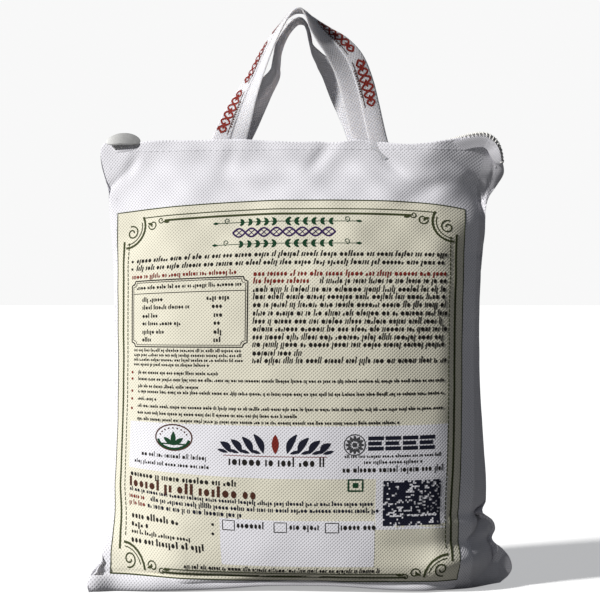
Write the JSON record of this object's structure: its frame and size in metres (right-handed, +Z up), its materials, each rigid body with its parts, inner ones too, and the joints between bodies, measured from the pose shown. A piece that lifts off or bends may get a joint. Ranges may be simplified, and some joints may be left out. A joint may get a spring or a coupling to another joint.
{
  "type": "zip-top fabric bag of millet flour",
  "caption": "Shut pillow-shaped fabric bag of millet flour that stands on its base, with a zip along the top, a printed front and two short carrying tapes.",
  "frame": {"origin": "on the floor, under the middle of the bag's width and on the plane of its side seams", "axes": "+Z up towards the handles, +X across the bag to the right as its printed front is seen, -Y out of the printed front"},
  "size_m": [0.2074, 0.0541, 0.2879],
  "materials": {
    "fabric": "white embossed non-woven fabric with a printed cream field on its front",
    "tape": "white woven-textured tape, folded double, with dark red print along one half",
    "coil": "off-white nylon coil",
    "slider": "plated grey metal, slightly worn"
  },
  "bodies": {
    "root": {"bag": "fabric", "handle_front": "tape", "handle_back": "tape", "zip_chain": "coil", "zip_slider": "slider", "zip_pull": "slider"}
  },
  "joints": []
}
